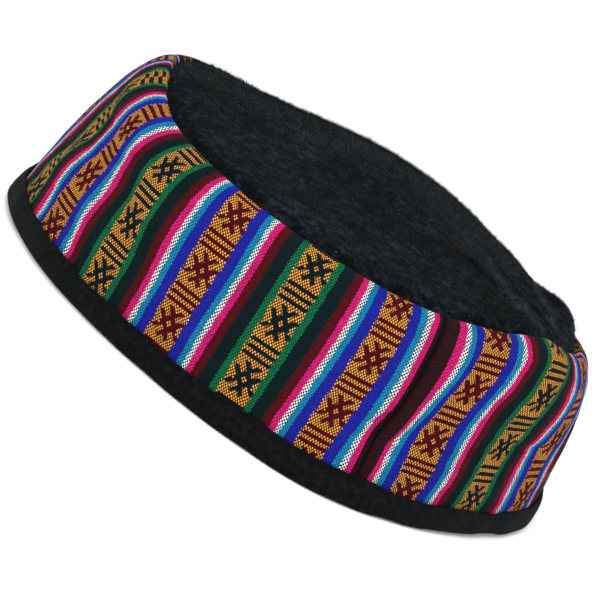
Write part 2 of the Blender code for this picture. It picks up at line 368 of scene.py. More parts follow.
def band_outline(angles, up):
    """The band's outer radius and height: its profile, out of round and risen at the top."""
    radii = smooth_read(BAND_PROFILE[:, 0], BAND_PROFILE[:, 1], up)
    heights = smooth_read(BAND_PROFILE[:, 0], BAND_PROFILE[:, 2], up)
    radii = radii + round_read(1, angles) * (1 - up) ** 2
    radii = radii + round_read(2, angles) * 4 * up * (1 - up)
    radii = radii + round_read(3, angles) * up**2
    return radii, heights + round_read(4, angles) * up**1.5


def nearest_turn(angles):
    """The same angles, from half a turn before the front to half a turn after it."""
    return (angles + 180) % 360 - 180


def folds_sink(angles, up):
    """How far the folds sink the surface: leaning bells that die at both edges."""
    depth = np.zeros(np.broadcast(angles, up).shape)
    for fold_angle, fold_up, half_angle, half_up, fold_depth, lean in FOLDS:
        across = (nearest_turn(angles) - fold_angle - lean * (up - fold_up)) / half_angle
        depth += fold_depth * np.exp(-across**2 - ((up - fold_up) / half_up) ** 2)
    above_binding = np.clip((up - BINDING_TOP_UP) / 0.15, 0, 1)
    return depth * above_binding * np.clip((1 - up) / 0.15, 0, 1)


def from_line(x, y, start_x, start_y, end_x, end_y):
    """The place on a short straight line that is nearest to each point, as a share of its length,
    and how far off it is, squared: the point dropped on the line, and held between its ends."""
    line = np.array([end_x - start_x, end_y - start_y])
    share = ((x - start_x) * line[0] + (y - start_y) * line[1]) / (line @ line)
    share = np.clip(share, 0, 1)
    return share, (x - start_x - share * line[0]) ** 2 + (y - start_y - share * line[1]) ** 2


def puckers_sink(angles, up):
    """How far sharp puckers sink the surface: a bell of the distance to each short straight line."""
    along = nearest_turn(angles) * BAND_DEGREE
    height = arc_up(up)
    depth = np.zeros(np.broadcast(angles, up).shape)
    for from_angle, from_up, to_angle, to_up, half_width, sink in PUCKERS:
        start = (from_angle * BAND_DEGREE, arc_up(from_up))
        end = (to_angle * BAND_DEGREE, arc_up(to_up))
        share, away = from_line(along, height, *start, *end)
        depth += sink * np.exp(-away / half_width**2) * (4 * share * (1 - share)) ** 0.3
    return depth


def seam_sink(away):
    """How far the seam sinks the surface, at millimetres to the right of it: a narrow groove and a
    shallow hollow left of it, less a low ridge right of it, all bells."""
    groove = 1.1 * np.exp(-(away / 1.0) ** 2) + 0.5 * np.exp(-((away + 1.6) / 2.2) ** 2)
    return groove - 0.5 * np.exp(-((away - 2.6) / 1.6) ** 2)


def soft_unevenness(angles, up, seed, waves, shortest, longest):
    """Gentle uneven swells: a sum of sine waves over the cloth with seeded directions and lengths."""
    random = np.random.default_rng(seed)
    total = np.zeros(np.broadcast(angles, up).shape)
    for _ in range(waves):
        turns = np.round(2 * np.pi * MEAN_RADIUS / random.uniform(shortest, longest))
        slant = 2 * np.pi / random.uniform(shortest, longest) * random.choice([-1, 1])
        start = random.uniform(0, 2 * np.pi)
        total += np.sin(np.radians(angles) * turns + slant * arc_up(up) + start)
    return total / np.sqrt(waves)


def grid_quads(rows, columns, wrap_rows, wrap_columns):
    """Quads between neighbours of a grid of points, facing out where rows turn and columns rise."""
    row = np.arange(rows if wrap_rows else rows - 1)[:, None]
    column = np.arange(columns if wrap_columns else columns - 1)[None, :]
    next_row = (row + 1) % rows
    next_column = (column + 1) % columns
    corners = [
        row * columns + column,
        next_row * columns + column,
        next_row * columns + next_column,
        row * columns + next_column,
    ]
    return np.stack(corners, -1).reshape(-1, 4)


def mesh_piece(name, points, faces, materials, face_materials=None, cloth=None):
    """One smooth piece from arrays of points and faces, riding on the root, with its cloth map."""
    mesh = bpy.data.meshes.new(name)
    mesh.from_pydata(points.reshape(-1, 3).tolist(), [], [list(face) for face in faces])
    mesh.polygons.foreach_set("use_smooth", np.ones(len(mesh.polygons), bool))
    for material in materials:
        mesh.materials.append(material)
    if face_materials is not None:
        mesh.polygons.foreach_set("material_index", face_materials.astype(np.int32).ravel())
    if cloth is not None:
        mesh.uv_layers.new(name="cloth").data.foreach_set("uv", cloth.astype(np.float32).ravel())
    mesh.update()
    piece = bpy.data.objects.new(name, mesh)
    bpy.context.scene.collection.objects.link(piece)
    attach(piece, "root")
    return piece


def linear(hex_colour):
    """An sRGB hex colour as linear red, green, blue and alpha."""
    parts = np.array([int(hex_colour[i:i + 2], 16) for i in (0, 2, 4)]) / 255
    parts = np.where(parts <= 0.04045, parts / 12.92, ((parts + 0.055) / 1.055) ** 2.4)
    return (*parts.tolist(), 1.0)


def add(tree, kind, links=None, **settings):
    """Add a node with its settings, and link or set its inputs, given by name or number."""
    node = tree.nodes.new("ShaderNode" + kind)
    for setting, value in settings.items():
        setattr(node, setting, value)
    for key, value in (links or {}).items():
        if isinstance(value, bpy.types.NodeSocket):
            tree.links.new(value, node.inputs[key])
        else:
            node.inputs[key].default_value = value
    return node


def maths(tree, operation, *inputs):
    """Add a math node on these inputs, and return its output."""
    return add(tree, "Math", dict(enumerate(inputs)), operation=operation).outputs[0]


def mix(tree, share, from_colour, to_colour, **settings):
    """Add a node that mixes two colours by a share, and return its output."""
    links = {0: share, 6: from_colour, 7: to_colour}
    return add(tree, "Mix", links, data_type="RGBA", **settings).outputs[2]


def fill_ramp(node, stops):
    """Give a colour ramp node its stops, as places and colours."""
    ramp = node.color_ramp
    for place, colour in stops[1:-1]:
        ramp.elements.new(place).color = colour
    ramp.elements[0].position, ramp.elements[0].color = stops[0]
    ramp.elements[-1].position, ramp.elements[-1].color = stops[-1]


def new_material(name, roughness, sheen, specular):
    """A material with its shader's fixed numbers set, and its tree and shader to build on."""
    material = bpy.data.materials.new(name)
    material.use_nodes = True
    tree = material.node_tree
    shader = tree.nodes["Principled BSDF"]
    shader.inputs["Roughness"].default_value = roughness
    shader.inputs["Sheen Weight"].default_value = sheen
    shader.inputs["Sheen Roughness"].default_value = 0.5
    shader.inputs["Specular IOR Level"].default_value = specular
    return material, tree, shader


def woven_stripes():
    """Warp-faced cotton, woven in stripes with picked-up figures: matt, full colours, each float of
    thread a small bright bead with a dark gap beside it, so that edges of stripes are stepped. The
    ochre floats are painted lighter towards their middles as a highlight, and the seam is painted
    darker as the shade of its fold and the shadow in its groove."""
    material, tree, shader = new_material("striped warp-faced cotton", 0.90, 0.0, 0.04)
    cloth = add(tree, "UVMap", uv_map="cloth").outputs[0]
    parts = add(tree, "SeparateXYZ", {0: cloth})
    count, height = parts.outputs[0], parts.outputs[1]

    # A little wander of the threads, in millimetres, as real floats never line up exactly
    flat = add(tree, "VectorMath", {0: cloth, 1: (HALF_REPEAT, 1.0, 1.0)}, operation="MULTIPLY").outputs[0]
    wander = add(tree, "TexNoise", {"Vector": flat, "Scale": 0.45, "Detail": 2.0}, noise_dimensions="2D")
    wander = add(tree, "SeparateColor", {0: wander.outputs["Color"]})
    wander_x = maths(tree, "MULTIPLY_ADD", wander.outputs[0], WANDER_ACROSS, -WANDER_ACROSS / 2)
    wander_y = maths(tree, "MULTIPLY_ADD", wander.outputs[1], WANDER_UP, -WANDER_UP / 2)
    height = maths(tree, "ADD", height, wander_y)

    # Millimetres across from the middle of the nearest figure band, and that band's kind: 0 for
    # green and 1 for maroon
    nearest = maths(tree, "ROUND", count)
    across = maths(tree, "SUBTRACT", count, nearest)
    across = maths(tree, "MULTIPLY_ADD", across, HALF_REPEAT, wander_x)
    kind = maths(tree, "PINGPONG", nearest, 1.0)

    # Rows and columns of floats, in a brick lattice: every other row is half a float aside. Then
    # the float's own place across, and its row of the chart
    row = maths(tree, "DIVIDE", height, TWO_ROWS / 2)
    row = maths(tree, "ROUND", row)
    odd = maths(tree, "PINGPONG", row, 1.0)
    aside = maths(tree, "MULTIPLY", odd, 0.5)
    column = maths(tree, "DIVIDE", across, FLOAT_WIDTH)
    column = maths(tree, "SUBTRACT", column, aside)
    column = maths(tree, "ROUND", column)
    middle = maths(tree, "ADD", column, aside)
    float_x = maths(tree, "MULTIPLY", middle, FLOAT_WIDTH)
    figure_row = maths(tree, "WRAP", row, FIGURE_FIRST_ROW + FIGURE_ROWS, FIGURE_FIRST_ROW)

    # How bright a float is across its own bead: two crossed waves, leaning a little
    lean = maths(tree, "MULTIPLY_ADD", height, BEAD_LEAN, across)
    wave_x = maths(tree, "MULTIPLY", lean, 2 * np.pi / FLOAT_WIDTH)
    wave_x = maths(tree, "COSINE", wave_x)
    wave_y = maths(tree, "MULTIPLY", height, 2 * np.pi / TWO_ROWS)
    wave_y = maths(tree, "COSINE", wave_y)
    bead = maths(tree, "MULTIPLY", wave_x, wave_y)

    # The plain stripe at each place, its edges stepped a little by the rows
    place = maths(tree, "MULTIPLY_ADD", wave_y, STEPPED_EDGE, across)
    place = maths(tree, "MULTIPLY_ADD", place, 1 / HALF_REPEAT, nearest)
    place = maths(tree, "PINGPONG", place, 1.0)
    stripe = add(tree, "ValToRGB", {0: place})
    stops = [(0.0, linear(STRIPES[0][2]))]
    for before, after in zip(STRIPES[:-1], STRIPES[1:]):
        blend = SOFT_EDGE if after[1] == "maroon" else HARD_EDGE
        stops += [(after[0] - blend, linear(before[2])), (after[0] + blend, linear(after[2]))]
    fill_ramp(stripe, stops)
    speck = add(tree, "ValToRGB", {0: place})
    speck.color_ramp.interpolation = "CONSTANT"
    fill_ramp(speck, [(start, (dark, dark, dark, 1)) for start, _, _, dark in STRIPES])

    # Whole floats belong to a band of figures, or don't
    wider = HALF_REPEAT * (MAROON_FIGURES_REACH - GREEN_FIGURES_REACH)
    reach = maths(tree, "MULTIPLY_ADD", kind, wider, HALF_REPEAT * GREEN_FIGURES_REACH)
    in_band = maths(tree, "ABSOLUTE", float_x)
    in_band = maths(tree, "LESS_THAN", in_band, reach)

    # The woven figure: the chart's four numbers for this row, which a stepped ramp holds as its
    # colour and alpha, against the float's place across
    x = maths(tree, "SUBTRACT", float_x, FIGURE_ASIDE)
    x = maths(tree, "ABSOLUTE", x)
    chart_row = maths(tree, "ADD", figure_row, 0.5 - FIGURE_FIRST_ROW)
    chart_row = maths(tree, "DIVIDE", chart_row, FIGURE_ROWS)
    chart = add(tree, "ValToRGB", {0: chart_row})
    chart.color_ramp.interpolation = "CONSTANT"
    fill_ramp(chart, [
        ((chart_row - FIGURE_FIRST_ROW) / FIGURE_ROWS, [edge / CHART_UNIT for edge in edges])
        for chart_row, *edges in FIGURE_CHART
    ])
    edges = add(tree, "SeparateColor", {0: chart.outputs[0]})
    x = maths(tree, "MULTIPLY", x, 1 / CHART_UNIT)
    near = maths(tree, "LESS_THAN", x, edges.outputs[0])
    past = maths(tree, "GREATER_THAN", x, edges.outputs[1])
    short = maths(tree, "LESS_THAN", x, edges.outputs[2])
    far = maths(tree, "GREATER_THAN", x, chart.outputs[1])
    stroke = maths(tree, "MULTIPLY", past, short)
    figure = maths(tree, "MAXIMUM", near, far)
    figure = maths(tree, "MAXIMUM", figure, stroke)

    # Along one edge of each band the ochre runs on through the bars between figures
    border = maths(tree, "LESS_THAN", float_x, -BORDER_FROM)
    figure = maths(tree, "MAXIMUM", figure, border)

    # Colours: the figure's dark threads, the ochre ones over them, painted lighter towards the middle
    # of each float as a highlight, and the plain stripes
    dark = mix(tree, kind, linear("07141A"), linear("3A0611"))
    crest_highlight = maths(tree, "MULTIPLY_ADD", bead, 0.5, 0.5)
    ochre = mix(tree, crest_highlight, linear("8F5210"), linear("E2A347"))
    woven = mix(tree, figure, dark, ochre)
    colour = mix(tree, in_band, stripe.outputs[0], woven)
    depth = add(tree, "Mix", {0: in_band, 2: speck.outputs[0], 3: figure}).outputs[0]
    shows = add(tree, "Mix", {0: in_band, 2: PLAIN_RELIEF, 3: figure}).outputs[0]

    # The cloth that the seam takes up is painted a browner maroon as the shade of its fold, and
    # black where its edges meet as the shadow in its groove
    from_seam = maths(tree, "SUBTRACT", count, (SEAM_LEFT + SEAM_RIGHT) / 2)
    from_seam = maths(tree, "ABSOLUTE", from_seam)
    in_seam_shade = maths(tree, "LESS_THAN", from_seam, SEAM_SHADE_REACH)
    meeting = (SEAM_RIGHT - SEAM_LEFT) / 2
    seam_shade_colour = add(tree, "MapRange", {
        "From Min": meeting, "From Max": meeting + SEAM_SHADOW_LINE / HALF_REPEAT, "Value": from_seam,
    }, interpolation_type="SMOOTHSTEP").outputs[0]
    seam_shade_colour = mix(tree, seam_shade_colour, linear("060304"), linear("291011"))
    colour = mix(tree, in_seam_shade, colour, seam_shade_colour)

    # Each float has a shade of its own, and the cloth is a little uneven over centimetres
    own = add(tree, "CombineXYZ", {0: nearest, 1: middle, 2: row}).outputs[0]
    own = add(tree, "TexWhiteNoise", {"Vector": own}).outputs["Value"]
    own = maths(tree, "MULTIPLY_ADD", own, SHADE_RANGE, SHADE_LEAST)
    patches = add(tree, "TexNoise", {"Vector": flat, "Scale": 0.12, "Detail": 3.0}, noise_dimensions="2D")
    patches = maths(tree, "MULTIPLY_ADD", patches.outputs[0], SHADE_RANGE, SHADE_LEAST)
    shade = maths(tree, "MULTIPLY", own, patches)
    colour = mix(tree, 1.0, colour, shade, blend_type="MULTIPLY")

    # The dark gap beside each float, which is browner under the ochre ones
    gap = add(tree, "MapRange", {
        "Value": bead, "From Min": 0.72, "From Max": -0.35,
    }, interpolation_type="SMOOTHSTEP").outputs[0]
    deep = maths(tree, "MULTIPLY", gap, depth)
    under_ochre = mix(tree, figure, dark, linear("34130A"))
    gap_colour = mix(tree, in_band, linear("0B0A0F"), under_ochre)
    colour = mix(tree, deep, colour, gap_colour)
    tree.links.new(colour, shader.inputs["Base Color"])

    # Floats stand proud of the gaps, most of all the picked-up ochre ones
    proud = maths(tree, "MULTIPLY_ADD", shows, 0.5, 0.5)
    relief = maths(tree, "MULTIPLY", bead, proud)
    bump = add(tree, "Bump", {"Strength": 0.55, "Distance": 0.00018, "Height": relief}).outputs[0]
    tree.links.new(bump, shader.inputs["Normal"])
    return material


def painted_nap_highlights(tree, place):
    """How much painted highlight of bent nap a place gets: a soft step of the distance to each short
    straight line.
    """
    bent = 0.0
    for from_x, from_y, to_x, to_y, width, light in BENT_NAP_HIGHLIGHTS:
        line = np.array([to_x - from_x, to_y - from_y, 0.0])
        start = np.array([from_x + SHIFT_X, from_y + SHIFT_Y, 0.0])
        offset = add(tree, "VectorMath", {0: place, 1: start.tolist()}, operation="SUBTRACT").outputs[0]
        per_length = (line / (line @ line)).tolist()
        share = add(tree, "VectorMath", {0: offset, 1: per_length}, operation="DOT_PRODUCT")
        share = add(tree, "Clamp", {"Value": share.outputs["Value"]}).outputs[0]
        foot = add(tree, "VectorMath", {0: line.tolist(), "Scale": share}, operation="SCALE").outputs[0]
        away = add(tree, "VectorMath", {0: offset, 1: foot}, operation="DISTANCE").outputs["Value"]
        step = add(tree, "MapRange", {
            "Value": away, "From Max": width, "To Min": light, "To Max": 0.0,
        }, interpolation_type="SMOOTHSTEP").outputs[0]
        bent = maths(tree, "MAXIMUM", bent, step)
    return bent


def brushed_fleece():
    """Black polyester fleece, brushed: no gloss, a soft grey bloom where the nap catches light at the
    edges, clumps of nap a millimetre or two across, lighter streaks painted in as a highlight where it
    is bent over, and a few light specks of lint."""
    material, tree, shader = new_material("black brushed fleece", 0.95, 0.08, 0.03)
    shader.inputs["Sheen Roughness"].default_value = 0.30
    shader.inputs["Sheen Tint"].default_value = linear("A6B4B6")
    place = add(tree, "TexCoord").outputs["Object"]
    clumps = add(tree, "TexNoise", {"Vector": place, "Scale": 330.0, "Detail": 5.0, "Roughness": 0.75})
    drift = add(tree, "TexNoise", {"Vector": place, "Scale": 60.0, "Detail": 3.0})
    steady = (1 - CLUMPS_SHARE - DRIFT_SHARE) / 2
    mixed = maths(tree, "MULTIPLY_ADD", clumps.outputs[0], CLUMPS_SHARE, steady)
    mixed = maths(tree, "MULTIPLY_ADD", drift.outputs[0], DRIFT_SHARE, mixed)
    shade = add(tree, "ValToRGB", {0: mixed})
    fill_ramp(shade, [(0.38, linear("010203")), (0.50, linear("090C0F")), (0.61, linear("1D2328"))])
    flat = add(tree, "VectorMath", {0: place, 1: (1 / MM, 1 / MM, 0.0)}, operation="MULTIPLY").outputs[0]
    # Painted highlight: the fleece is mixed towards a lighter grey along the creases where the nap is bent
    bent = maths(tree, "MULTIPLY", painted_nap_highlights(tree, flat), clumps.outputs[0])
    shade = mix(tree, bent, shade.outputs[0], linear("4A5659"))
    lint = add(tree, "TexVoronoi", {"Vector": place, "Scale": 260.0})
    speck = add(tree, "MapRange", {
        "Value": lint.outputs["Distance"], "From Min": 0.10, "From Max": 0.05, "To Max": 0.45,
    })
    colour = mix(tree, speck.outputs[0], shade, linear("565C5A"))
    tree.links.new(colour, shader.inputs["Base Color"])
    bump = add(tree, "Bump", {"Strength": 0.9, "Distance": 0.0007, "Height": clumps.outputs[0]}).outputs[0]
    tree.links.new(bump, shader.inputs["Normal"])
    return material


def black_cotton(name, thread):
    """Plain-woven black cotton: matt, slightly greyed, with a faint grid of threads this far apart.
    They are drawn about twice as coarse as they are, so that they show."""
    material, tree, shader = new_material(name, 0.90, 0.01, 0.05)
    place = add(tree, "UVMap", uv_map="cloth").outputs[0]
    turns = (2 * np.pi / thread,) * 3
    threads = add(tree, "VectorMath", {0: place, 1: turns}, operation="MULTIPLY").outputs[0]
    waves = add(tree, "VectorMath", {0: threads}, operation="SINE").outputs[0]
    parts = add(tree, "SeparateXYZ", {0: waves})
    weave = maths(tree, "MULTIPLY", parts.outputs[0], parts.outputs[1])
    lint = add(tree, "TexNoise", {"Vector": place, "Scale": 0.5, "Detail": 4.0}, noise_dimensions="2D")
    mixed = maths(tree, "MULTIPLY_ADD", weave, THREAD_SHADE, lint.outputs[0])
    shade = add(tree, "ValToRGB", {0: mixed})
    fill_ramp(shade, [(0.30, linear("050608")), (0.55, linear("0A0C0E")), (0.80, linear("131517"))])
    tree.links.new(shade.outputs[0], shader.inputs["Base Color"])
    bump = add(tree, "Bump", {"Strength": 0.5, "Distance": 0.00015, "Height": weave}).outputs[0]
    tree.links.new(bump, shader.inputs["Normal"])
    return material


def stripe_angles(count, up):
    """Where the cloth's stripes lie: for each height, a smooth curve through the read lines. The
    hidden back has its stripes evenly spaced between the last line seen and the first."""
    lines = [(at, smooth_read(*np.array(reads).T, up[0])) for at, reads in STRIPE_LINES]
    first, last = lines[0][1] + 360, lines[-1][1]
    last_count = STRIPE_LINES[-1][0]
    unseen = STRIPES_ROUND - last_count
    hidden = [(last_count + i, last + (first - last) * i / unseen) for i in range(1, int(unseen))]
    hidden += [(STRIPES_ROUND - lines[1][0], 2 * first - lines[1][1] - 360), (STRIPES_ROUND, first)]
    seam = [line for at, line in lines if at == SEAM_LEFT][0]
    left = [line for line in lines if line[0] <= SEAM_LEFT]
    right = [(SEAM_RIGHT, seam)] + [line for line in lines if line[0] > SEAM_RIGHT] + hidden
    angles = np.zeros((len(count), up.shape[1]))
    for half, chosen in ((left, count[:, 0] <= SEAM_LEFT), (right, count[:, 0] > SEAM_LEFT)):
        knots = np.array([at for at, _ in half])
        values = np.array([line for _, line in half])
        angles[chosen] = smooth_read(knots, values, count[chosen, 0])
    return angles


def figure_place(face_count, arc):
    """Millimetres up the cloth from the middle of a figure, in the band of figures nearest. Bands
    at the back have theirs about as uneven in height as those that show."""
    nearest = np.round(face_count).astype(int)
    bands = range(STRIPES_ROUND + 1)
    middles = np.array([FIGURES.get(i, (30 + 3 * np.sin(2.4 * i), FIGURE_REPEAT)) for i in bands])
    middle, spacing = middles[nearest, 0], middles[nearest, 1]
    return (arc - middle[:, None]) * FIGURE_REPEAT / spacing[:, None]


def make_band(stripes, facing):
    """The padded wall. A point is found from its count of stripes and its height: the angle from
    the read lines, the radius and height from the profile, less the folds, puckers and seam."""
    left = np.linspace(0, SEAM_LEFT, LEFT_COLUMNS)
    right = np.linspace(SEAM_RIGHT, STRIPES_ROUND, RIGHT_COLUMNS)
    count = np.concatenate([left, right[1:-1]])[:, None]
    first = (BINDING_WALL + GAP) / BINDING_HEIGHT * BINDING_TOP_UP
    up = first + (1 - first) * np.linspace(0, 1, BAND_ROWS)[None, :] ** 0.9
    angles = stripe_angles(count, up)
    plain_radii, heights = band_outline(angles, up)
    folds = folds_sink(angles, up)

    # Fine shapes are only on the outside, and die at the binding and at the crown's seam
    seam_away = (nearest_turn(angles) - angles[LEFT_COLUMNS - 1]) * SEAM_DEGREE
    fade = np.clip((up - 0.11) / 0.06, 0, 1) * np.clip((1 - up) / 0.06, 0, 1)
    uneven = 0.16 * soft_unevenness(angles, up, seed=3, waves=14, shortest=9, longest=30)
    radii = plain_radii - (folds + fade * (puckers_sink(angles, up) + seam_sink(seam_away) + uneven))

    # The inside lies one wall further in, square to the folded outside, on fewer rows. Inside the
    # binding it is plain, and at the top it ends at the turned-down edge
    chosen = np.linspace(0, BAND_ROWS - 1, INNER_ROWS).astype(int)
    inner_radii = plain_radii - folds
    along_radius = np.gradient(inner_radii, axis=1)
    along_height = np.gradient(heights, axis=1)
    length = np.hypot(along_radius, along_height)
    inner_radii = (inner_radii - BAND_WALL * along_height / length)[:, chosen]
    inner_heights = (heights + BAND_WALL * along_radius / length)[:, chosen]
    bound = heights[:, chosen] < 1.5 * BINDING_HEIGHT
    inner_radii = np.where(bound, plain_radii[:, chosen] - BAND_WALL, inner_radii)
    inner_heights = np.where(bound, heights[:, chosen], inner_heights)
    seam = radii[:, -1:]
    edge = heights[:, -1:] - SEAM_TURN_DOWN
    inner_radii[:, -1:] = seam + BAND_WALL
    inner_heights[:, -1] = np.minimum(inner_heights[:, -1], heights[:, -1] - 0.5 * BAND_WALL)

    all_radii = np.concatenate([radii, seam, seam + BAND_WALL, inner_radii[:, ::-1]], 1)
    all_heights = np.concatenate([heights, edge, edge, inner_heights[:, ::-1]], 1)
    all_angles = np.concatenate([angles, angles[:, -1:], angles[:, -1:], angles[:, chosen[::-1]]], 1)
    points = turned(all_angles, all_radii, all_heights)
    columns, section = all_radii.shape
    faces = grid_quads(columns, section, True, True)

    # The cloth map: across, the count of stripes, and up, the place in the nearest band of figures
    turned_down = arc_up(1) + np.array([SEAM_TURN_DOWN, SEAM_TURN_DOWN + BAND_WALL])
    arc = np.concatenate([arc_up(up[0]), turned_down, arc_up(up[0, chosen[::-1]])])
    start = np.concatenate([left[:-1], right[:-1]])
    end = np.concatenate([left[1:], right[1:]])
    place = figure_place((start + end) / 2, arc[None, :])
    next_place = np.roll(place, -1, axis=1)
    counts = np.stack([start, end, end, start], -1)[:, None, :].repeat(section, 1)
    cloth = np.stack([counts, np.stack([place, place, next_place, next_place], -1)], -1)
    inside = np.tile(np.arange(section) > BAND_ROWS + 1, columns)
    return mesh_piece("woven_band", points, faces, [stripes, facing], inside, cloth)


def crown_heights(angles, share, rim, seam_heights, seam_mean, rim_mean):
    """Heights of the crown's outside: the seam's height, the profile's rise and the lumps."""
    rise = smooth_read(CROWN_PROFILE[:, 0], CROWN_PROFILE[:, 1], share)
    heights = seam_mean * (1 - share**2) + seam_heights * share**2 + rise
    for lump_angle, lump_share, half_width, lump_rise in LUMPS:
        reach = lump_share * rim_mean
        between = np.radians(angles - lump_angle)
        away = (rim * share) ** 2 + reach**2 - 2 * rim * share * reach * np.cos(between)
        heights = heights + lump_rise * np.exp(-away / half_width**2) * (1 - share**24)
    return heights


def crown_point(angles, share):
    """A point of the crown's outside in millimetres, with soft dents and creases added."""
    around = np.arange(0, 360, 3.75) - 180
    rims, seam_line = band_outline(around, np.ones_like(around))
    radii, seam_heights = band_outline(angles, np.ones_like(angles))
    rim = radii - GAP
    heights = crown_heights(angles, share, rim, seam_heights, seam_line.mean(), rims.mean() - GAP)
    x = rim * share * np.sin(np.radians(angles))
    y = -rim * share * np.cos(np.radians(angles))
    random = np.random.default_rng(11)
    for _ in range(26):
        middle_x, middle_y = random.uniform(-62, 62, 2)
        turn = random.uniform(0, np.pi)
        across = (x - middle_x) * np.cos(turn) + (y - middle_y) * np.sin(turn)
        along = (y - middle_y) * np.cos(turn) - (x - middle_x) * np.sin(turn)
        dent = np.exp(-((across / random.uniform(4, 9)) ** 2) - (along / random.uniform(10, 24)) ** 2)
        heights = heights + random.uniform(-0.7, 0.4) * dent * (1 - share**6)
    for *ends, half_width, rise in CREASES:
        _, away = from_line(x, y, *ends)
        heights = heights + rise * np.exp(-away / half_width**2) * (1 - share**24)
    return np.stack([x + SHIFT_X, y + SHIFT_Y, heights], -1)


def make_crown(fleece):
    """The domed top: rings from the middle out to the rim, turned down, and back inside."""
    angles = np.arange(CROWN_COLUMNS)[None, :] * (360 / CROWN_COLUMNS) - 180
    share = np.sin(np.linspace(0, np.pi / 2, CROWN_RINGS + 1))[1:, None]
    outer = crown_point(angles, share * np.ones_like(angles))
    rim = outer[-1:]
    down = rim - np.array([0, 0, CROWN_TURN_DOWN])
    wall = np.array([0, 0, CROWN_WALL])
    from_middle = (outer - np.array([SHIFT_X, SHIFT_Y, 0])) * np.array([1, 1, 0])
    outward = from_middle / np.linalg.norm(from_middle, axis=-1, keepdims=True)
    chosen = np.arange(CROWN_RINGS - 1, 0, -8)
    inner = outer[chosen] - wall - outward[chosen] * 0.3
    inner[0] = rim[0] - outward[-1] * CROWN_WALL - wall
    rings = np.concatenate([outer, down, down - outward[-1:] * CROWN_WALL, inner])
    rows, columns = rings.shape[:2]
    top = crown_point(np.zeros(1), np.zeros(1))
    points = np.concatenate([top, rings.reshape(-1, 3), top - wall])
    quads = grid_quads(rows, columns, False, True)[:, ::-1] + 1
    column = np.arange(columns)
    next_column = (column + 1) % columns
    above = np.stack([np.zeros(columns, int), 1 + column, 1 + next_column], -1)
    last = 1 + (rows - 1) * columns
    below = np.stack([last + next_column, last + column, np.full(columns, last + columns)], -1)
    return mesh_piece("fleece_crown", points * MM, [*above, *quads, *below], [fleece])


def make_nap(fleece):
    """The brushed nap: thin straight spikes of three sides, scattered over the crown's outside and
    leaning every way."""
    random = np.random.default_rng(5)
    share = np.sqrt(random.uniform(0.0, 0.99, NAP_FIBRES))
    angles = random.uniform(-180, 180, NAP_FIBRES)
    root = crown_point(angles, share)
    along = crown_point(angles + 0.2, share) - root
    out = crown_point(angles, share + 0.002) - root
    normal = np.cross(out, along)
    normal /= np.linalg.norm(normal, axis=1, keepdims=True)
    lean = random.normal(0, 1, (NAP_FIBRES, 3))
    lean -= normal * (lean * normal).sum(1, keepdims=True)
    lean /= np.linalg.norm(lean, axis=1, keepdims=True)
    side = np.cross(normal, lean)
    length = random.gamma(4.0, 0.35, NAP_FIBRES).clip(0.5, 3.2)[:, None]
    tilt = np.radians(random.uniform(10, 78, NAP_FIBRES))[:, None]
    tip = root + (normal * np.cos(tilt) + lean * np.sin(tilt)) * length
    turn = np.radians([0, 120, 240])[None, :, None]
    spoke = lean[:, None] * np.cos(turn) + side[:, None] * np.sin(turn)
    foot = root[:, None] - normal[:, None] * 0.2 + spoke * 0.05
    points = np.concatenate([foot, tip[:, None]], 1)
    start = 4 * np.arange(NAP_FIBRES)[:, None]
    faces = np.concatenate([start + [corners] for corners in ((0, 1, 3), (1, 2, 3), (2, 0, 3), (2, 1, 0))])
    return mesh_piece("crown_nap", points * MM, faces, [fleece])


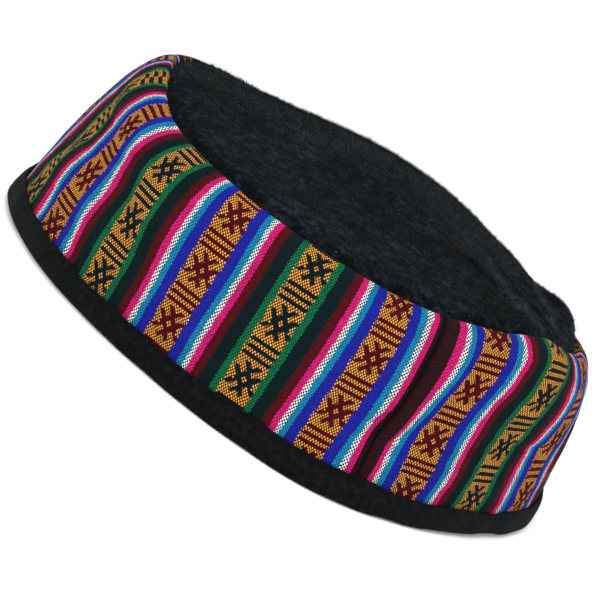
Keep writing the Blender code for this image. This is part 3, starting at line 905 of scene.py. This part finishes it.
def make_hem_binding(cotton):
    """The folded strip: its U section carried round, with an edge that waves a little and pulls in
    at each stitch. Its foot ripples, lifts off the floor in two places and bulges at the front."""
    step = 360 / BINDING_COLUMNS
    angles = np.arange(BINDING_COLUMNS)[:, None] * step - 180
    hem = np.zeros((1, 1))
    base = band_outline(angles, hem)[0]
    edge = band_outline(angles, hem + BINDING_TOP_UP)[0]
    foot_out = base + GAP + BINDING_WALL + BINDING_FLARE + 2.2 * np.exp(-((angles - 14) / 15) ** 2)
    top_out = edge + GAP + BINDING_WALL
    foot_in = base - BAND_WALL - GAP - BINDING_WALL
    top_in = edge - BAND_WALL - GAP - BINDING_WALL
    wave = 0.25 * soft_unevenness(angles, hem, seed=7, waves=9, shortest=14, longest=50)
    stitch = 0.18 * np.cos(np.radians(angles) * 180)
    height = BINDING_HEIGHT + wave + 0.3 * stitch
    out = 0.2 * soft_unevenness(angles, hem, seed=8, waves=9, shortest=10, longest=40) + 0.25
    ripple = soft_unevenness(angles, hem, seed=12, waves=7, shortest=14, longest=34).clip(-1, 1.5)
    off_floor = 1.0 * np.exp(-((angles + 62) / 28) ** 2) + 0.7 * np.exp(-((angles - 56) / 13) ** 2)
    lift = off_floor + (0.2 + 0.2 * ripple)

    # The section's corners, as radius and height, from the foot up outside, over and down inside
    section = [
        (foot_out - 2.0, 0.0),
        (foot_out - 1.0, lift),
        (foot_out - 0.4 + 0.3 * out, 0.35 + lift),
        (foot_out + 0.4 * out, 1.1 + 0.9 * lift),
        (foot_out + 0.6 * out, 2.2 + 0.6 * lift),
        (0.6 * foot_out + 0.4 * top_out + 0.35 + out, 3.6),
        (0.4 * foot_out + 0.6 * top_out + 0.35 + out, 5.2),
        (0.2 * foot_out + 0.8 * top_out + 0.2 + 0.7 * out, height - 1.9),
        (top_out + 0.05 + 0.4 * stitch, height - 1.2),
        (top_out - 0.10 + 0.5 * stitch, height - 0.7),
        (top_out - 0.05, height - 0.30),
        (top_out - 0.40, height),
        (edge + GAP + 0.1, height - 0.1),
        (base + GAP + 0.1, BINDING_WALL),
        (foot_in + BINDING_WALL, BINDING_WALL),
        (top_in + BINDING_WALL, height),
        (top_in + 0.3, height + 0.1),
        (top_in, height - 0.4),
        (0.5 * (top_in + foot_in) - 0.2, 0.5 * height),
        (foot_in, 1.0),
        (foot_in + 0.3, 0.3),
        (foot_in + 1.0, 0.0),
    ]
    radii = np.concatenate([radius + 0 * angles for radius, _ in section], 1)
    heights = np.concatenate([high + 0 * angles for _, high in section], 1)
    points = turned(angles, radii, heights)
    columns, rows = radii.shape
    faces = grid_quads(columns, rows, True, True)
    lengths = np.hypot(np.diff(radii, axis=1), np.diff(heights, axis=1)).mean(0)
    across = np.concatenate([[0], np.cumsum(lengths), [lengths.sum() + 2]])
    along = np.arange(columns + 1) * step * BINDING_DEGREE
    u = np.stack([along[:-1], along[1:], along[1:], along[:-1]], -1)[:, None, :].repeat(rows, 1)
    v = np.stack([across[:-1], across[:-1], across[1:], across[1:]], -1)[None].repeat(columns, 0)
    return mesh_piece("cotton_hem_binding", points, faces, [cotton], None, np.stack([u, v], -1))


def make_floor():
    """A pale floor that curves up into a backdrop: a straight run, a quarter round and a rise."""
    turn = np.linspace(0, np.pi / 2, 17)
    run = np.concatenate([[-6.0], 3.0 + 2.0 * np.sin(turn), [5.0]])
    rise = np.concatenate([[0.0], 2.0 - 2.0 * np.cos(turn), [7.0]])
    side = np.array([-7.0, 7.0])[:, None]
    just_below = 0.00005
    points = np.stack([side + 0 * run, run + 0 * side, rise + 0 * side - just_below], -1)
    mesh = bpy.data.meshes.new("studio_floor")
    faces = grid_quads(2, len(run), False, False)
    mesh.from_pydata(points.reshape(-1, 3).tolist(), [], faces.tolist())
    material, tree, shader = new_material("white paper backdrop", 0.9, 0.0, 0.2)
    grain = add(tree, "TexNoise", {"Vector": add(tree, "TexCoord").outputs["Object"], "Scale": 30.0})
    tone = add(tree, "ValToRGB", {0: grain.outputs[0]})
    fill_ramp(tone, [(0.2, linear("FAFAFA")), (0.5, linear("FBFBFB")), (0.8, linear("FCFCFC"))])
    tree.links.new(tone.outputs[0], shader.inputs["Base Color"])
    mesh.materials.append(material)
    floor = bpy.data.objects.new("studio_floor", mesh)
    bpy.context.scene.collection.objects.link(floor)


def soft_light(name, place, size, power):
    """A square soft box at a place, turned to the cap."""
    lamp = bpy.data.lights.new(name, "AREA")
    lamp.size = size
    lamp.energy = power
    light = bpy.data.objects.new(name, lamp)
    light.location = place
    light.rotation_euler = (Vector((0, 0, 0.03)) - Vector(place)).to_track_quat("-Z", "Y").to_euler()
    bpy.context.scene.collection.objects.link(light)


def make_studio():
    """Soft boxes above and beside, an even white surround, and the camera."""
    soft_light("key soft box", (-0.7, -1.3, 1.3), 1.2, 22)
    soft_light("side soft box", (1.5, -0.9, 0.8), 1.2, 9)
    soft_light("top soft box", (0.0, 0.3, 1.8), 1.5, 14)
    world = bpy.data.worlds.new("white surround")
    world.use_nodes = True
    surround = world.node_tree.nodes["Background"]
    surround.inputs["Color"].default_value = (1, 1, 1, 1)
    surround.inputs["Strength"].default_value = 0.9
    bpy.context.scene.world = world
    bpy.context.scene.view_settings.view_transform = "Standard"

    # The camera looks down at the front by its tilt, and is rolled. Its distance is in metres
    tilt, roll = np.radians(15.7), np.radians(32.9)
    distance = 0.850
    target = Vector((-1.51, 0.93, 17.6)) * MM
    back = Vector((0, -np.cos(tilt), np.sin(tilt)))
    right = Vector((1, 0, 0))
    above = back.cross(right)
    camera = bpy.data.objects.new("camera", bpy.data.cameras.new("camera"))
    camera.data.lens = 161.2
    camera.data.sensor_width = 36
    camera.data.clip_start = 0.05
    camera_right = right * np.cos(roll) + above * np.sin(roll)
    camera_up = above * np.cos(roll) - right * np.sin(roll)
    turn = Matrix((camera_right, camera_up, back)).transposed().to_4x4()
    camera.matrix_world = Matrix.Translation(target + back * distance) @ turn
    bpy.context.scene.collection.objects.link(camera)
    bpy.context.scene.camera = camera


fleece = brushed_fleece()
cotton = black_cotton("black cotton tape", 0.7)
facing = black_cotton("black cotton facing", 1.2)

band = make_band(woven_stripes(), facing)
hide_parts("band")

crown = make_crown(fleece)
nap = make_nap(fleece)
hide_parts("crown")

binding = make_hem_binding(cotton)
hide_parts("hem_binding")

make_floor()
make_studio()
